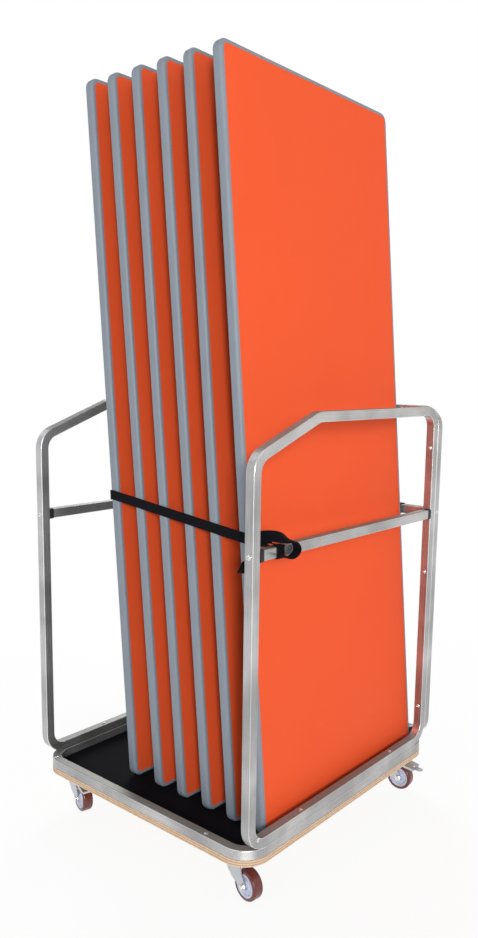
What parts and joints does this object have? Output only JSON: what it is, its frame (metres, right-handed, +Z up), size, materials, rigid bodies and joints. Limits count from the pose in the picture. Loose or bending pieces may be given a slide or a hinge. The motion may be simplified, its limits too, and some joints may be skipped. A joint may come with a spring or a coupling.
{
  "type": "banquet table trolley",
  "caption": "Rolling deck on swivel casters with bent square-tube end frames and a back frame, holding folded banquet tables on end with a webbing strap.",
  "frame": {"origin": "on the floor under the middle of the deck", "axes": "+X along the deck towards the end frame that the tables face, -Y the open loading side, +Z up"},
  "size_m": [0.7976, 0.828, 1.9509],
  "materials": {
    "plywood": "bare birch plywood with its layers showing at the edge",
    "mat": "matte black rubber",
    "zinc_tube": "bright zinc plating with fine drawing marks",
    "cap_black": "moulded black plastic",
    "screw_zinc": "bright zinc",
    "webbing": "woven black webbing",
    "caster_zinc": "zinc-plated pressed steel",
    "wheel_core": "moulded pale grey-blue nylon",
    "tread": "dark red-brown cast elastomer",
    "laminate": "orange laminate on board",
    "edge_band": "satin grey moulded edge band",
    "leg_metal": "dark grey powder coat"
  },
  "bodies": {
    "trolley": {"deck_board": "plywood", "deck_mat": "mat", "deck_ring": "zinc_tube", "end_frame_right": "zinc_tube", "end_frame_left": "zinc_tube", "back_frame": "zinc_tube", "crossbar_right": "zinc_tube", "crossbar_left": "zinc_tube", "back_rail": "zinc_tube", "bar_caps_right": "cap_black", "bar_caps_left": "cap_black", "back_rail_caps": "cap_black", "deck_screws": "screw_zinc", "frame_screws": "screw_zinc", "caster_bolts": "screw_zinc", "strap_anchor": "webbing", "strap_band": "webbing", "strap_end": "webbing", "caster_front_right_plate": "caster_zinc", "caster_front_left_plate": "caster_zinc", "caster_back_right_plate": "caster_zinc", "caster_back_left_plate": "caster_zinc"},
    "swivel_front_right": {"caster_front_right_fork": "caster_zinc", "caster_front_right_axle": "screw_zinc"},
    "wheel_front_right": {"caster_front_right_core": "wheel_core", "caster_front_right_tread": "tread"},
    "swivel_front_left": {"caster_front_left_fork": "caster_zinc", "caster_front_left_axle": "screw_zinc"},
    "wheel_front_left": {"caster_front_left_core": "wheel_core", "caster_front_left_tread": "tread"},
    "brake_front_left": {"brake_pedal_front_left": "caster_zinc"},
    "swivel_back_right": {"caster_back_right_fork": "caster_zinc", "caster_back_right_axle": "screw_zinc"},
    "wheel_back_right": {"caster_back_right_core": "wheel_core", "caster_back_right_tread": "tread"},
    "brake_back_right": {"brake_pedal_back_right": "caster_zinc"},
    "swivel_back_left": {"caster_back_left_fork": "caster_zinc", "caster_back_left_axle": "screw_zinc"},
    "wheel_back_left": {"caster_back_left_core": "wheel_core", "caster_back_left_tread": "tread"},
    "table_1": {"table_1_top": "laminate", "table_1_edge": "edge_band", "table_1_legs": "leg_metal"},
    "table_2": {"table_2_top": "laminate", "table_2_edge": "edge_band", "table_2_legs": "leg_metal"},
    "table_3": {"table_3_top": "laminate", "table_3_edge": "edge_band", "table_3_legs": "leg_metal"},
    "table_4": {"table_4_top": "laminate", "table_4_edge": "edge_band", "table_4_legs": "leg_metal"},
    "table_5": {"table_5_top": "laminate", "table_5_edge": "edge_band", "table_5_legs": "leg_metal"},
    "table_6": {"table_6_top": "laminate", "table_6_edge": "edge_band", "table_6_legs": "leg_metal"}
  },
  "joints": [
    {"name": "swivel_front_right", "type": "hinge", "parent": "trolley", "child": "swivel_front_right", "pos_m": [0.305, -0.348, 0.1], "axis": [0, 0, 1], "continuous": true},
    {"name": "roll_front_right", "type": "hinge", "parent": "swivel_front_right", "child": "wheel_front_right", "pos_m": [0.33768, -0.35259, 0.0375], "axis": [0.1392, 0.9903, 0], "continuous": true},
    {"name": "swivel_front_left", "type": "hinge", "parent": "trolley", "child": "swivel_front_left", "pos_m": [-0.305, -0.348, 0.1], "axis": [0, 0, 1], "continuous": true},
    {"name": "roll_front_left", "type": "hinge", "parent": "swivel_front_left", "child": "wheel_front_left", "pos_m": [-0.27312, -0.35654, 0.0375], "axis": [0.2588, 0.9659, 0], "continuous": true},
    {"name": "brake_front_left", "type": "hinge", "parent": "swivel_front_left", "child": "brake_front_left", "pos_m": [-0.28954, -0.35214, 0.0854], "axis": [0.2588, 0.9659, 0], "range_deg": [0, 15]},
    {"name": "swivel_back_right", "type": "hinge", "parent": "trolley", "child": "swivel_back_right", "pos_m": [0.305, 0.333, 0.1], "axis": [0, 0, 1], "continuous": true},
    {"name": "roll_back_right", "type": "hinge", "parent": "swivel_back_right", "child": "wheel_back_right", "pos_m": [0.33787, 0.33588, 0.0375], "axis": [-0.0872, 0.9962, 0], "continuous": true},
    {"name": "brake_back_right", "type": "hinge", "parent": "swivel_back_right", "child": "brake_back_right", "pos_m": [0.32094, 0.33439, 0.0854], "axis": [-0.0872, 0.9962, 0], "range_deg": [0, 15]},
    {"name": "swivel_back_left", "type": "hinge", "parent": "trolley", "child": "swivel_back_left", "pos_m": [-0.305, 0.333, 0.1], "axis": [0, 0, 1], "continuous": true},
    {"name": "roll_back_left", "type": "hinge", "parent": "swivel_back_left", "child": "wheel_back_left", "pos_m": [-0.27298, 0.32502, 0.0375], "axis": [0.2419, 0.9703, 0], "continuous": true},
    {"name": "lift_table_1", "type": "slide", "parent": "trolley", "child": "table_1", "axis": [-0.0837, 0, 0.9965], "range_m": [0, 0.3]},
    {"name": "lift_table_2", "type": "slide", "parent": "trolley", "child": "table_2", "axis": [-0.0924, 0, 0.9957], "range_m": [0, 0.3]},
    {"name": "lift_table_3", "type": "slide", "parent": "trolley", "child": "table_3", "axis": [-0.0906, 0, 0.9959], "range_m": [0, 0.3]},
    {"name": "lift_table_4", "type": "slide", "parent": "trolley", "child": "table_4", "axis": [-0.0906, 0, 0.9959], "range_m": [0, 0.3]},
    {"name": "lift_table_5", "type": "slide", "parent": "trolley", "child": "table_5", "axis": [-0.0889, 0, 0.996], "range_m": [0, 0.3]},
    {"name": "lift_table_6", "type": "slide", "parent": "trolley", "child": "table_6", "axis": [-0.0906, 0, 0.9959], "range_m": [0, 0.3]}
  ]
}
